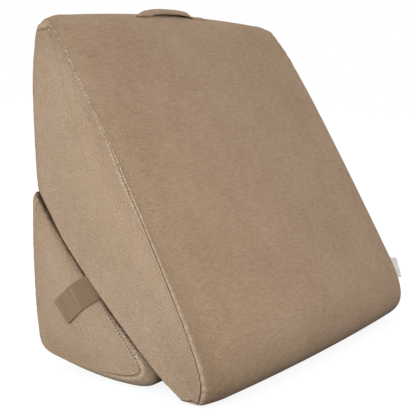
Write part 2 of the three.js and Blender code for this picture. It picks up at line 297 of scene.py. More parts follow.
@dataclass(frozen=True)
class PlushFinish:
    """Short taupe plush, with cloudy brushing marks, a fine fleck and stitched seams.

    The colours are the pile when brushed down, the pile when raised, the painted shade beside a
    seam, the painted highlight beside a stitch, and the painted shade in a seam and in the gaps.
    The scales are features per metre, and each weight is how much its noise changes the tone.
    """

    name: str = "taupe_plush"
    down: tuple = linear(140, 115, 91)
    raised: tuple = linear(172, 148, 124)
    # laid: painted shade beside a seam, where the wrap turns to the side and on the panel next to
    # it.
    laid: tuple = linear(100, 76, 52)
    # Painted highlight beside the stitches.
    tuft: tuple = linear(204, 182, 157)
    shade: tuple = linear(60, 33, 9)
    cloud_scale: float = 9.0
    cloud_weight: float = 0.6
    patch_scale: float = 60.0
    patch_weight: float = 0.35
    fleck_scale: float = 560.0
    fleck_weight: float = 1.8
    wale_scale: tuple[float, float, float] = (75.0, 360.0, 360.0)
    wale_weight: float = 0.7
    fuzz_scale: float = 900.0
    pile_depth: float = 0.0018
    marks: SeamShading = SeamShading()

    def _seam(self, tree: Shading, place: Signal) -> tuple[Signal, Signal, Signal]:
        """Painted shade and highlights along a side seam.

        Args:
            tree: The tree that the nodes go into.
            place: Position on the object.

        Returns:
            The painted shade of the crease, its stitches, a band on the wrap, ragged edges and the
            gap; the painted highlight beside the stitches, which is below 0 for painted shade in
            the hollows of the puckers; and how near the seam is.
        """
        marks = self.marks
        side, show, dots, fuzz = (
            tree.attribute(f"seam_{key}") for key in ("gap", "show", "dots", "fuzz")
        )
        gap = side.size()
        wander = tree.noise(place, marks.wander_scale, 1.0, 0.5)
        drift = wander - 0.5
        bits = tree.noise(place, marks.bit_scale, 0.0, 0.5)
        bit = bits - 0.5
        turn = tree.attribute("seam_run") * (2 * math.pi / marks.stitch_pitch)
        stitch = (turn + wander * 5.0).sine().ramp(-0.2, 0.7)
        # Painted shade in the crease, broken into single stitches where dots is 1.
        crease = (gap + bit * 0.0008).ramp(*marks.crease) * (1 - dots * 0.95 * (1 - stitch))
        crease = crease * (0.7 + 0.3 * wander.ramp(0.35, 0.6)) * show
        # Painted shade in a band on the wrap beyond the roll, broken into flecks.
        shade_flecks = (side - marks.wrap_shade_line + drift * 0.006).size().ramp(*marks.wrap_shade_reach)
        shade_flecks = shade_flecks * bits.ramp(0.47, 0.58) * show * dots * 0.45
        # Painted highlight on the low ridges on both sides of the seam.
        beside = (side - marks.panel_highlight_line).size().ramp(*marks.panel_highlight_reach) * 0.6
        beside = beside.most((side - marks.wrap_highlight_line).size().ramp(*marks.wrap_highlight_reach))
        seam_light = beside * (0.15 + 0.85 * bits.ramp(0.44, 0.6)) * show.ramp(0.2, 0.6)
        seam_light = seam_light * (0.4 + 0.6 * dots) * (1 - 0.5 * fuzz)
        # Painted light and shade of the puckers near the seam.
        pucker_shading = gap.ramp(*marks.pucker_shading_reach) * show.ramp(0.75, 0.4) * dots * bit
        near = (side - marks.near_line).size().ramp(*marks.near_reach) * show.ramp(0.0, 0.5)
        # Painted shade with a ragged edge where fuzz is 1: under the edge of the large wedge and
        # along the lower edges of the handle.
        ragged_shade = (side + bit * 0.009 + drift * 0.004).ramp(*marks.ragged_shade)
        ragged_shade = ragged_shade * fuzz * (0.3 + 0.4 * bits.ramp(0.6, 0.4))
        # Painted shade in the gap between the wedges, deeper where the other wedge is nearer.
        apart = tree.attribute("apart") + bit * 0.003 + drift * 0.003
        shaded = apart.ramp(*marks.gap_shade) * 0.9
        shaded = shaded.most(apart.ramp(*marks.gap_wide_shade) * (0.2 + 0.25 * fuzz))
        dark = (crease * 0.95).most(shade_flecks).most(ragged_shade).most(shaded)
        return dark, seam_light + pucker_shading * 2.0, near

    def make(self) -> bpy.types.Material:
        """Build the material.

        Returns:
            The plush material, which reads the seam values that the mesh carries.
        """
        tree = Shading(self.name)
        place = tree.place()
        cloud = tree.noise(place, self.cloud_scale, 2.0, 0.5)
        patch = tree.noise(place, self.patch_scale, 2.0, 0.5)
        fleck = tree.noise(place, self.fleck_scale, 2.0, 0.6)
        wale = tree.noise(tree.stretched(place, self.wale_scale), 1.0, 1.0, 0.5)
        dark, seam_light, near = self._seam(tree, place)
        tone = 0.5 + (cloud - 0.5) * self.cloud_weight + (patch - 0.5) * self.patch_weight
        tone = tone + (fleck - 0.5) * self.fleck_weight * (1 + near)
        tone = tone + (wale - 0.5) * self.wale_weight + near * 0.1
        colour = tree.blend(tone.most(0.0).least(1.0), self.down, self.raised)
        # Painted shade beside the seams, read from seam_laid.
        colour = tree.blend(tree.attribute("seam_laid") * 0.42, colour, self.laid)
        # Painted highlight beside the stitches.
        colour = tree.blend((seam_light * 0.75).most(0.0), colour, self.tuft)
        # Painted shade: the crease, the gaps, the ragged edges and the hollows of the puckers.
        dark = dark.most(seam_light * -0.4)
        colour = tree.blend(dark * 0.9, colour, self.shade)
        fuzz = tree.noise(place, self.fuzz_scale, 2.0, 0.7)
        height = fleck * 0.7 + wale * 0.4 + fuzz * 0.4 + seam_light * 0.6 - dark
        normal = tree.raised(height, self.pile_depth, 0.5)
        constants = {"Sheen Weight": 0.05, "Sheen Roughness": 0.5, "Specular IOR Level": 0.1}
        return tree.finish(colour, 0.95, normal, constants)


@dataclass(frozen=True)
class WebbingFinish:
    """Flat woven webbing, darker than the plush, ribbed across, with a lighter end past its crease.

    The weights are how much the weave, the grain and the bands of yarn change the tone, and how
    much more the bands do so in the end past the crease.
    """

    name: str = "taupe_webbing"
    yarn: tuple = linear(134, 111, 88)
    shadow: tuple = linear(108, 84, 61)
    rib_pitch: float = 0.0014
    warp_pitch: float = 0.00112
    weave_weight: float = 0.07
    grain_scale: float = 600.0
    grain_weight: float = 0.5
    band_scale: tuple[float, float] = (260.0, 12.0)
    band_weight: float = 0.3
    end_band_weight: float = 1.3
    end_light: float = 0.25
    crease_line: tuple[float, float] = (0.0022, 0.0004)
    relief_depth: float = 0.0006

    def make(self) -> bpy.types.Material:
        """Build the material.

        Returns:
            The webbing material, which reads the strap values that the mesh carries.
        """
        tree = Shading(self.name)
        run, across, fold, crease = (
            tree.attribute(f"strap_{key}") for key in ("run", "across", "fold", "crease")
        )
        rib = (run * (2 * math.pi / self.rib_pitch)).sine()
        warp = (across * (2 * math.pi / self.warp_pitch)).sine()
        weave = rib * 0.5 + rib * warp * 0.5
        grain = tree.noise(tree.place(), self.grain_scale, 2.0, 0.6)
        long, wide = self.band_scale
        along = tree.node("ShaderNodeCombineXYZ", {}, {0: run * long, 1: across * wide})
        band = tree.noise(along, 1.0, 1.0, 0.5)
        crease = crease.ramp(*self.crease_line)
        tone = 0.5 + weave * self.weave_weight + (grain - 0.5) * self.grain_weight
        tone = tone + (band - 0.5) * (self.band_weight + self.end_band_weight * fold)
        tone = tone + fold * self.end_light + crease * 0.4
        colour = tree.blend(tone.most(0.0).least(1.0), self.shadow, self.yarn)
        normal = tree.raised(weave * 0.5 + grain * 0.5 + crease, self.relief_depth, 0.5)
        return tree.finish(colour, 0.85, normal, {"Sheen Weight": 0.1, "Specular IOR Level": 0.2})


@dataclass(frozen=True)
class TagFinish:
    """Smooth woven tape, bare white."""

    name: str = "white_tape"
    tape: tuple = linear(244, 244, 242)
    shadow: tuple = linear(226, 226, 224)
    weave_scale: tuple[float, float, float] = (900.0, 900.0, 2600.0)

    def make(self) -> bpy.types.Material:
        """Build the material.

        Returns:
            The tape material.
        """
        tree = Shading(self.name)
        weave = tree.noise(tree.stretched(tree.place(), self.weave_scale), 1.0, 1.0, 0.5)
        colour = tree.blend(weave, self.shadow, self.tape)
        normal = tree.raised(weave, 0.0003, 0.4)
        return tree.finish(colour, 0.6, normal, {"Specular IOR Level": 0.3})


# Shape helpers


def rise(values: np.ndarray, low: float, high: float) -> np.ndarray:
    """How far values have come on the way from low to high, from 0 to 1."""
    return np.clip((values - low) / (high - low), 0, 1)


def bell(distance: np.ndarray, reach: float) -> np.ndarray:
    """Bump that is 1 at distance 0 and fades away past its reach."""
    return np.exp(-((distance / reach) ** 2))


def travelled(points: np.ndarray) -> np.ndarray:
    """Distance of each point in a row of points from the first one, along the row."""
    return np.concatenate(((0.0,), np.cumsum(np.linalg.norm(np.diff(points, axis=0), axis=1))))


def quadratic(points: np.ndarray, shares: np.ndarray) -> np.ndarray:
    """Points on a curve with three control points, at shares of its way from 0 to 1."""
    t = shares[:, None]
    return (1 - t) ** 2 * points[0] + 2 * t * (1 - t) * points[1] + t**2 * points[2]


def cross2(a: np.ndarray, b: np.ndarray) -> float:
    """Cross product of two vectors in a plane."""
    return float(a[0] * b[1] - a[1] * b[0])


@dataclass(frozen=True)
class Corner:
    """A corner of a side view, where two edges would meet, and the edge that leaves it.

    Its rounding takes up a length of the edge before it and of the edge after it. The edge after
    it is crowned outwards, most at the share of its length that is named lean.
    """

    y: float
    z: float
    before: float
    after: float
    crown: float
    lean: float = 0.5

    def place(self) -> np.ndarray:
        """Its place in the side view."""
        return np.array((self.y, self.z))


@dataclass(frozen=True)
class SideView:
    """A closed side view with crowned edges and rounded corners."""

    corners: tuple[Corner, ...]

    def _edge(self, start: Corner, end: Corner, middle: np.ndarray) -> np.ndarray:
        """Control points of the edge from one corner to the next.

        Args:
            start: The corner that the edge leaves.
            end: The corner that it runs to.
            middle: The middle of all corners, from which the edge is crowned outwards.

        Returns:
            Its three control points.
        """
        a, b = start.place(), end.place()
        along = (b - a) / np.linalg.norm(b - a)
        outward = np.array((along[1], -along[0]))
        if outward @ ((a + b) / 2 - middle) < 0:
            outward = -outward
        a = a + along * start.after
        b = b - along * end.before
        control = a + (b - a) * start.lean + outward * 2 * start.crown
        return np.array((a, control, b))

    def curves(self) -> list[np.ndarray]:
        """Control points of all curves in order, each edge followed by the rounding of its corner.

        Returns:
            Three points for each curve.
        """
        middle = np.mean([corner.place() for corner in self.corners], axis=0)
        following = self.corners[1:] + self.corners[:1]
        edges = [self._edge(start, end, middle) for start, end in zip(self.corners, following)]
        made = []
        for edge, after in zip(edges, edges[1:] + edges[:1]):
            leave = edge[2] - edge[1]
            arrive = after[0] - after[1]
            share = cross2(after[0] - edge[2], arrive) / cross2(leave, arrive)
            made += [edge, np.array((edge[2], edge[2] + leave * share, after[0]))]
        return made

    def steps(self, spacing: float) -> list[int]:
        """Number of steps on each curve that keeps its points about a spacing apart.

        Args:
            spacing: The distance between points.

        Returns:
            One number for each curve, at least 6.
        """
        shares = np.linspace(0, 1, 30)
        lengths = [travelled(quadratic(curve, shares))[-1] for curve in self.curves()]
        return [max(6, round(length / spacing)) for length in lengths]

    def sample(self, steps: list[int]) -> np.ndarray:
        """Points round the side view.

        Args:
            steps: Number of steps on each curve.

        Returns:
            One (y, z) row for each point.
        """
        pairs = zip(self.curves(), steps)
        parts = [quadratic(curve, np.arange(count) / count) for curve, count in pairs]
        return np.concatenate(parts)


def spread(spans: tuple, steps: list[int]) -> np.ndarray:
    """Values round a side view, from 0 to 1.

    Args:
        spans: The value at the start and at the end of each curve.
        steps: Number of steps on each curve.

    Returns:
        One value for each point, cut off below 0 and above 1.
    """
    pairs = zip(spans, steps)
    parts = [np.linspace(*span, count, endpoint=False) for span, count in pairs]
    return np.clip(np.concatenate(parts), 0, 1)


def grid_normals(grid: np.ndarray) -> np.ndarray:
    """Outward normals of a grid of rings that are closed along their second axis.

    Args:
        grid: Rings, points and coordinates.

    Returns:
        A unit normal for each point.
    """
    around = np.roll(grid, -1, axis=1) - np.roll(grid, 1, axis=1)
    between = np.gradient(grid, axis=0)
    normals = np.cross(around, between)
    normals /= np.maximum(np.linalg.norm(normals, axis=2, keepdims=True), 1e-12)
    middle = grid.reshape(-1, 3).mean(axis=0)
    if np.sum(normals * (grid - middle)) < 0:
        normals = -normals
    even = smooth_rings(normals, 6)
    normals = np.where(np.sum(normals * even, axis=2, keepdims=True) < 0, -normals, normals)
    normals = smooth_rings(normals, 4)
    return normals / np.linalg.norm(normals, axis=2, keepdims=True)


def smooth_rings(values: np.ndarray, passes: int) -> np.ndarray:
    """Values on a grid of closed rings, evened out with their neighbours.

    Args:
        values: Rings and points, and coordinates if there are any.
        passes: How many times they are evened out.

    Returns:
        The evened values.
    """
    for _ in range(passes):
        padded = np.concatenate((values[:1], values, values[-1:]))
        across = (padded[:-2] + padded[2:]) / 2
        around = (np.roll(values, 1, axis=1) + np.roll(values, -1, axis=1)) / 2
        values = values * 0.5 + (across + around) * 0.25
    return values


def nearest(points: np.ndarray) -> KDTree:
    """Tree that finds which of some points are nearest to a place.

    Args:
        points: One row for each point.

    Returns:
        The tree.
    """
    tree = KDTree(len(points))
    for i, point in enumerate(points):
        tree.insert(point, i)
    tree.balance()
    return tree


def linked(name: str, data: bpy.types.ID) -> bpy.types.Object:
    """New object in the scene.

    Args:
        name: Its name.
        data: Its mesh, camera or light.

    Returns:
        The object.
    """
    made = bpy.data.objects.new(name, data)
    bpy.context.scene.collection.objects.link(made)
    return made


def mesh_object(name: str, points: np.ndarray, faces: list) -> bpy.types.Object:
    """New smooth-shaded mesh object.

    Args:
        name: The object's name.
        points: One row for each vertex.
        faces: Vertex numbers of each face.

    Returns:
        The object, linked to the scene.
    """
    mesh = bpy.data.meshes.new(name)
    mesh.from_pydata(points.tolist(), [], faces)
    mesh.update()
    made = linked(name, mesh)
    shape = bmesh.new()
    shape.from_mesh(mesh)
    bmesh.ops.recalc_face_normals(shape, faces=shape.faces)
    shape.to_mesh(mesh)
    shape.free()
    mesh.polygons.foreach_set("use_smooth", [True] * len(mesh.polygons))
    return made


def carry(made: bpy.types.Object, name: str, values: np.ndarray) -> None:
    """Give a mesh a named value at each vertex.

    Args:
        made: The mesh.
        name: The name that the shader reads.
        values: The values in the order of the vertices. The vertices that are left over get 0.
    """
    layer = made.data.attributes.new(name, "FLOAT", "POINT")
    left_over = len(layer.data) - np.size(values)
    padded = np.pad(np.ravel(values), (0, left_over))
    layer.data.foreach_set("value", padded.astype(np.float32))


def ring_faces(rings: int, count: int) -> list:
    """Faces of a closed grid of rings, with a fan to a point at each end.

    Args:
        rings: Number of rings.
        count: Points on each ring. The end points follow the last ring.

    Returns:
        The vertex numbers of each face.
    """
    faces = []
    for r in range(rings - 1):
        for k in range(count):
            n = (k + 1) % count
            faces.append((r * count + k, r * count + n, (r + 1) * count + n, (r + 1) * count + k))
    first, last = rings * count, rings * count + 1
    for k in range(count):
        n = (k + 1) % count
        faces.append((first, n, k))
        faces.append((last, (rings - 1) * count + k, (rings - 1) * count + n))
    return faces


def ring_object(name: str, grid: np.ndarray, ends: np.ndarray) -> bpy.types.Object:
    """New object of closed rings that run to a point at either end."""
    points = np.concatenate((grid.reshape(-1, 3), ends))
    return mesh_object(name, points, ring_faces(*grid.shape[:2]))


def sheet_faces(rows: int, columns: int) -> list:
    """Faces of a thin closed sheet whose inner grid is followed by its outer grid.

    Args:
        rows: Rows of points.
        columns: Points in a row.

    Returns:
        The vertex numbers of each face.
    """
    size = rows * columns
    faces = []
    for r in range(rows - 1):
        for c in range(columns - 1):
            a = r * columns + c
            faces.append((a, a + 1, a + columns + 1, a + columns))
            faces.append((size + a, size + a + columns, size + a + columns + 1, size + a + 1))
    rim = [(r, 0) for r in range(rows)] + [(rows - 1, c) for c in range(1, columns)]
    rim += [(r, columns - 1) for r in range(rows - 2, -1, -1)]
    rim += [(0, c) for c in range(columns - 2, 0, -1)]
    for (r0, c0), (r1, c1) in zip(rim, rim[1:] + rim[:1]):
        a, b = r0 * columns + c0, r1 * columns + c1
        faces.append((a, b, size + b, size + a))
    return faces


def sheet_object(name: str, points: np.ndarray) -> bpy.types.Object:
    """New object of a thin sheet, from the rows of its inner side and then of its outer side."""
    return mesh_object(name, points.reshape(-1, 3), sheet_faces(len(points) // 2, points.shape[1]))


def dressed(
    made: bpy.types.Object, material: bpy.types.Material, node: str
) -> bpy.types.Object:
    """Finish a piece with its material, body, replaced solid and material slot.

    Args:
        made: The piece.
        material: Its material.
        node: The solid that it stands for.

    Returns:
        The same piece.
    """
    made.data.materials.append(material)
    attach(made, BODY)
    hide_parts(node)
    return made


# Sub-assemblies


@dataclass
class ClothSettler:
    """Cloth run that puffs a cover out over its foam between the seams."""

    voxel: float = 0.008
    pressure: float = 4.0
    mass: float = 0.3
    stiffness: float = 12.0
    bending: float = 0.6
    slack: float = -0.004
    last_frame: int = 20
    cap: float = 0.0018
    pin_reach: float = 0.012
    blur: float = 0.012
    neighbours: int = 14
    passes: int = 6

    def puffed(
        self, grid: np.ndarray, normals: np.ndarray, ends: np.ndarray, lips: list[int]
    ) -> np.ndarray:
        """How far the settled cloth stands off the base shape.

        Args:
            grid: Rings of the base shape.
            normals: Their outward normals.
            ends: The point in the middle of each side panel.
            lips: Numbers of the rings on the two lips, where the cloth is sewn down.

        Returns:
            One height for each point of the grid.
        """
        base = ring_object("cloth_base", grid, ends)
        rest, moved = self._run(base, grid[lips].reshape(-1, 3))
        bpy.data.objects.remove(base)
        tree = nearest(rest)
        height = np.zeros(grid.shape[:2])
        for place in np.ndindex(height.shape):
            found = tree.find_n(grid[place], self.neighbours)
            weights = bell(np.array([entry[2] for entry in found]), self.blur)
            offsets = moved[[entry[1] for entry in found]] * weights[:, None]
            height[place] = (offsets.sum(axis=0) / weights.sum()) @ normals[place]
        return smooth_rings(height, self.passes)

    def _run(self, base: bpy.types.Object, pinned: np.ndarray) -> tuple[np.ndarray, np.ndarray]:
        """Settle a copy of a closed mesh.

        Args:
            base: The mesh before it is puffed out.
            pinned: Points of the seams, which stay where they are.

        Returns:
            The remeshed points before the run, and how far each one moved.
        """
        work = linked("cloth_work", base.data.copy())
        remesh = work.modifiers.new("even", "REMESH")
        remesh.mode = "VOXEL"
        remesh.voxel_size = self.voxel
        self._apply(work)
        rest = self._points(work)
        tree = nearest(pinned)
        group = work.vertex_groups.new(name="sewn")
        for i, point in enumerate(rest):
            distance = tree.find(point)[2]
            group.add([i], float(np.clip(1.3 - distance / self.pin_reach, 0, 1)), "REPLACE")
        cloth = work.modifiers.new("cover", "CLOTH")
        settings = {
            "quality": 4,
            "mass": self.mass,
            "tension_stiffness": self.stiffness,
            "compression_stiffness": self.stiffness,
            "shear_stiffness": self.stiffness / 2,
            "bending_stiffness": self.bending,
            "shrink_min": self.slack,
            "use_pressure": True,
            "uniform_pressure_force": self.pressure,
            "vertex_group_mass": "sewn",
        }
        for key, value in settings.items():
            setattr(cloth.settings, key, value)
        cloth.settings.effector_weights.gravity = 0
        cloth.collision_settings.use_collision = False
        cloth.point_cache.frame_end = self.last_frame
        for number in range(1, self.last_frame + 1):
            bpy.context.scene.frame_set(number)
        self._apply(work)
        moved = self._points(work) - rest
        bpy.context.scene.frame_set(1)
        bpy.data.objects.remove(work)
        lengths = np.linalg.norm(moved, axis=1, keepdims=True)
        return rest, moved * np.minimum(1, self.cap / np.maximum(lengths, 1e-9))

    def _apply(self, work: bpy.types.Object) -> None:
        """Turn the modifiers of an object into its mesh.

        Args:
            work: The object.
        """
        graph = bpy.context.evaluated_depsgraph_get()
        mesh = bpy.data.meshes.new_from_object(work.evaluated_get(graph))
        work.modifiers.clear()
        work.data = mesh

    def _points(self, work: bpy.types.Object) -> np.ndarray:
        """Vertices of an object.

        Args:
            work: The object.

        Returns:
            One row for each vertex.
        """
        flat = np.zeros(len(work.data.vertices) * 3)
        work.data.vertices.foreach_get("co", flat)
        return flat.reshape(-1, 3)


@dataclass(frozen=True)
class SeamLook:
    """How a side seam shows round the wedge, as values at the start and the end of each curve.

    They are the depth of the crease, how far it breaks up into single stitches, how much painted
    shade with a ragged edge lies beside it, how far the wrap is gathered beside it, and how much
    painted shade lies where the wrap turns to the side and on the panel beside the seam.
    """

    show: tuple
    dots: tuple
    fuzz: tuple
    gather: tuple
    wrap_painted_shade: tuple
    panel_painted_shade: tuple

    def values(self, steps: list[int]) -> dict[str, np.ndarray]:
        """All values at each point round the wedge, by name."""
        return {key: spread(spans, steps) for key, spans in vars(self).items()}


@dataclass(frozen=True)
class SeamRelief:
    """Relief of a side seam: its crease, a low lip on either side, and puckers that it draws up."""

    groove_depth: float = 0.0011
    groove_width: float = 0.0014
    lip_height: float = 0.0008
    lip_place: float = 0.006
    lip_width: float = 0.004
    pucker_height: float = 0.0007
    pucker_lengths: tuple[float, ...] = (0.011, 0.014, 0.019, 0.027)
    swell_ratio: float = 7.3
    pucker_reach: float = 0.014

    def height(
        self, gaps: np.ndarray, run: np.ndarray, look: dict[str, np.ndarray], seed: int
    ) -> np.ndarray:
        """Height of the relief.

        Args:
            gaps: Signed distance from the stitched line.
            run: Distance along the seam.
            look: The values of the seam at each point round the wedge.
            seed: Start of the random draws.

        Returns:
            One height for each point.
        """
        rng = np.random.default_rng(seed)
        depth = look["show"] * (1 - 0.8 * look["dots"])
        crease = -self.groove_depth * depth * bell(gaps, self.groove_width)
        lip = self.lip_height * depth * bell(np.abs(gaps) - self.lip_place, self.lip_width)
        puckers = np.zeros_like(gaps)
        for length in self.pucker_lengths:
            phase = rng.uniform(0, 2 * math.pi, 2)
            swell_length = length * self.swell_ratio
            swell = 0.5 + 0.5 * np.sin(2 * math.pi * run / swell_length + phase[1])
            puckers += swell * np.sin(2 * math.pi * run / length + phase[0]) / 2
        fade = np.exp(-((np.abs(gaps) / self.pucker_reach) ** 1.5))
        return crease + lip + self.pucker_height * (0.4 + 1.8 * look["gather"]) * puckers * fade


@dataclass(frozen=True)
class Fill:
    """A spot where the stuffing stands out or falls short, the same on both sides."""

    place: tuple[float, float, float]
    height: float
    reach: float


@dataclass
class Wedge:
    """A foam wedge in its plush cover: one wrap over the edges and a panel sewn in at each side.

    Towards the sides the wrap shrinks to its anchor and rolls over to the lip of the panel, whose
    corners are pulled in. In the middle of the width it settles on the floor.
    """

    name: str
    outline: SideView
    seam: SideView
    half_width: float
    anchor: tuple[float, float]
    shrink: float
    roll: float
    seam_inset: float
    corner_pull: tuple[float, ...]
    side_bow: float
    settle: float
    look: SeamLook
    seam_shift: tuple[tuple[float, float], ...]
    seed: int
    finish: PlushFinish
    fills: tuple[Fill, ...] = ()
    cover_share: float = 0.35
    pull_reach: float = 0.045
    seam_lift: float = 0.005
    settle_height: float = 0.080
    settle_fade: tuple[float, float] = (0.35, 0.85)
    floor_reach: float = 0.012
    relief: SeamRelief = SeamRelief()
    sewn_reach: float = 0.020
    # Painted shade beside the seam: where the wrap's normal turns to the side, past a distance from
    # the seam, and within a reach on the panel.
    painted_shade_turn: tuple[float, float] = (0.21, 0.91)
    painted_shade_past: tuple[float, float] = (0.0065, 0.0115)
    painted_shade_reach: float = 0.035
    spacing: float = 0.0042
    ring_spacing: float = 0.009
    least_shift: float = 0.0008
    panel_rings: int = 14
    near_seam: tuple[float, ...] = (
        0.0012, 0.0026, 0.0045, 0.007, 0.010, 0.014, 0.019, 0.026, 0.034,
    )
    to_line: tuple[float, ...] = (0.25, 0.5, 0.75, 1.0)
    even_turns: tuple[float, float, int] = (0.0, 0.8, 13)
    near_turns: tuple[float, ...] = (0.86, 0.91, 0.945, 0.97, 0.987, 1.0)
    tree: BVHTree = field(init=False, repr=False)
    points: np.ndarray = field(init=False, repr=False)
    made: bpy.types.Object = field(init=False, repr=False)

    def _half(
        self, steps: list[int], shift: np.ndarray
    ) -> tuple[list[np.ndarray], np.ndarray, int]:
        """Rings of the right half, from the middle of the width to the middle of the side panel.

        Args:
            steps: Number of steps on each curve of the side views.
            shift: How far in from the lip the stitched line lies, round the seam.

        Returns:
            The rings, the point in the middle of the panel, and the number of the ring on the lip.
        """
        outline = self.outline.sample(steps)
        seam = self.seam.sample(steps)
        seam[:, 1] = np.maximum(seam[:, 1], FLOOR + self.seam_lift)
        pulls = np.zeros(len(seam))
        for corner, pull in zip(self.seam.corners, self.corner_pull):
            distance = np.linalg.norm(seam - corner.place(), axis=1)
            pulls += pull * bell(distance, self.pull_reach)
        start = self.half_width - self.roll
        places = np.arange(0, start - self.ring_spacing / 2, self.ring_spacing)
        rings = [self._face(outline, x) for x in places]
        face = self._face(outline, start)
        lip = np.column_stack((self.half_width - self.seam_inset - pulls, seam))
        turns = np.concatenate((np.linspace(*self.even_turns), self.near_turns))
        for angle in turns * math.pi / 2:
            ring = face + (np.column_stack((face[:, 0], seam)) - face) * (1 - math.cos(angle))
            ring[:, 0] = start + (lip[:, 0] - start) * math.sin(angle)
            rings.append(ring)
        lip_ring = len(rings) - 1
        middle = lip.mean(axis=0)
        apex_x = self.half_width + self.side_bow - self.seam_inset
        reach = np.linalg.norm(lip - middle, axis=1)
        inset = np.maximum(shift, self.least_shift)
        shares = [inset * part / reach for part in self.to_line]
        shares += [(inset + width) / reach for width in self.near_seam]
        inner = np.linspace(0, 1, self.panel_rings)[1:-1]
        shares += [shares[-1] + (1 - shares[-1]) * share for share in inner]
        for share in shares:
            ring = lip + (middle - lip) * share[:, None]
            ring[:, 0] = lip[:, 0] + (apex_x - lip[:, 0]) * (1 - (1 - share) ** 2)
            rings.append(ring)
        return rings, np.array((apex_x, middle[1], middle[2])), lip_ring

    def _shift(self, steps: list[int]) -> np.ndarray:
        """How far in from the lip the stitched line lies.

        Args:
            steps: Number of steps on each curve of the side views.

        Returns:
            One distance for each point of the seam.
        """
        places = np.concatenate([i + np.arange(count) / count for i, count in enumerate(steps)])
        known, shifts = np.array(self.seam_shift).T
        shift = np.interp(places, known, shifts, period=len(steps))
        for _ in range(4):
            shift = (np.roll(shift, 1) + shift * 2 + np.roll(shift, -1)) / 4
        return shift

    def _face(self, outline: np.ndarray, x: float) -> np.ndarray:
        """Ring of the wrap at a place along the width.

        Args:
            outline: The side view at the middle of the width.
            x: The distance from the middle.

        Returns:
            The ring, drawn in towards the sides and settled on the floor in the middle.
        """
        outness = (x / self.half_width) ** 2
        anchor = np.array(self.anchor)
        moved = anchor + (outline - anchor) * (1 - self.shrink * outness)
        lowness = np.maximum(1 - moved[:, 1] / self.settle_height, 0)
        way = rise(x / self.half_width, *self.settle_fade)
        middleness = 1 - way * way * (3 - 2 * way)
        z = moved[:, 1] - self.settle * middleness * lowness
        return np.column_stack((np.full(len(moved), x), moved[:, 0], np.maximum(z, FLOOR)))

    def _gaps(self, grid: np.ndarray, lips: list[int], shift: np.ndarray) -> np.ndarray:
        """Signed distance of each point from the nearer stitched line, positive on the panels.

        Args:
            grid: Rings of the whole wedge.
            lips: Numbers of the rings on the two lips.
            shift: How far in from the lip the stitched line lies.

        Returns:
            One distance for each point.
        """
        lengths = np.linalg.norm(np.diff(grid, axis=0), axis=2)
        along = np.concatenate((np.zeros((1, grid.shape[1])), np.cumsum(lengths, axis=0)))
        left = along[lips[0]] - along
        right = along - along[lips[1]]
        return np.where(np.abs(left) < np.abs(right), left, right) - shift

    def _filled(self, grid: np.ndarray) -> np.ndarray:
        """Height of the spots where the stuffing stands out or falls short.

        Args:
            grid: Rings of the base shape.

        Returns:
            One height for each point of the grid.
        """
        places = grid - np.array(ORIGIN)
        places[:, :, 0] = np.abs(places[:, :, 0])
        height = np.zeros(grid.shape[:2])
        for fill in self.fills:
            distance = np.linalg.norm(places - np.array(fill.place), axis=2)
            height += fill.height * bell(distance, fill.reach)
        return height

    def _raised(self, grid: np.ndarray, normals: np.ndarray, height: np.ndarray) -> np.ndarray:
        """Rings moved out along their normals, but not into the floor.

        Args:
            grid: Rings of the base shape.
            normals: Their outward normals.
            height: How far each point moves.

        Returns:
            The moved rings.
        """
        low = grid[:, :, 2] - FLOOR
        pressed = np.minimum(height, 0.0) * (low / self.floor_reach)
        height = np.where(low < self.floor_reach, pressed, height)
        moved = grid + normals * height[:, :, None]
        moved[:, :, 2] = np.maximum(moved[:, :, 2], FLOOR)
        return moved

    def _painted_shade(
        self, gaps: np.ndarray, normals: np.ndarray, look: dict[str, np.ndarray]
    ) -> np.ndarray:
        """Painted shade beside the seam, on the wrap where it turns to the side and on the panel
        next to it.

        Args:
            gaps: Signed distance from the stitched line.
            normals: Outward normals of the base shape.
            look: The values of the seam at each point round the wedge.

        Returns:
            One value from 0 to 1 for each point.
        """
        turned = rise(np.abs(normals[:, :, 0]), *self.painted_shade_turn) * rise(-gaps, *self.painted_shade_past)
        beside = bell(gaps, self.painted_shade_reach) * (gaps > 0)
        return turned * look["wrap_painted_shade"] + beside * look["panel_painted_shade"]

    def build(self) -> bpy.types.Object:
        """Make the wedge.

        Returns:
            The dressed object.
        """
        steps = self.outline.steps(self.spacing)
        shift = self._shift(steps)
        half, apex, lip_ring = self._half(steps, shift)
        grid = np.array([ring * MIRROR for ring in half[:0:-1]] + half) + np.array(ORIGIN)
        ends = np.array((apex * MIRROR, apex)) + np.array(ORIGIN)
        lips = [len(half) - 1 - lip_ring, len(half) - 1 + lip_ring]
        gaps = self._gaps(grid, lips, shift)
        run = np.broadcast_to(travelled(grid[lips[0]]), gaps.shape)
        normals = grid_normals(grid)
        look = self.look.values(steps)
        height = self.relief.height(gaps, run, look, self.seed) + self._filled(grid)
        puffed = ClothSettler().puffed(grid, normals, ends, lips)
        LOG.info("%s: the cloth stands off by %.1f mm", self.name, puffed.mean() * 1000)
        height = height + puffed * self.cover_share * (1 - bell(gaps, self.sewn_reach))
        grid = self._raised(grid, normals, height)
        ends[:, 0] = (grid[0, :, 0].mean(), grid[-1, :, 0].mean())
        self.points = np.concatenate((grid.reshape(-1, 3), ends))
        self.made = ring_object(f"{self.name}_cover", grid, ends)
